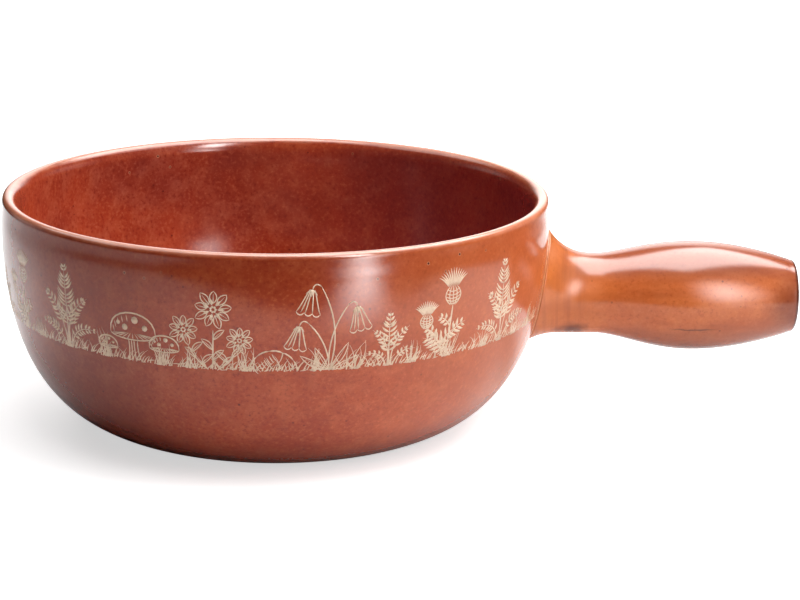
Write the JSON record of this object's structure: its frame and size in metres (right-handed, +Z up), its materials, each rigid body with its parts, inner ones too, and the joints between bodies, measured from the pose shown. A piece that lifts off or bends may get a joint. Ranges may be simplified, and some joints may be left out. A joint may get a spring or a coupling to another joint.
{
  "type": "fondue pot",
  "caption": "Wide round stoneware fondue pot with a rolled lip, a flat base and one hollow, swelling side handle luted to the wall by a flared root.",
  "frame": {"origin": "centre of the flat base, on the surface that the pot stands on", "axes": "+X along the handle, away from the bowl; +Z up out of the bowl's mouth"},
  "size_m": [0.3365, 0.23, 0.097],
  "materials": {
    "bowl_glaze": "gloss",
    "handle_glaze": "gloss",
    "slip": "satin",
    "frieze_print": "satin"
  },
  "bodies": {
    "root": {"bowl": "bowl_glaze", "handle": "handle_glaze", "luting_slip": "slip"}
  },
  "joints": []
}
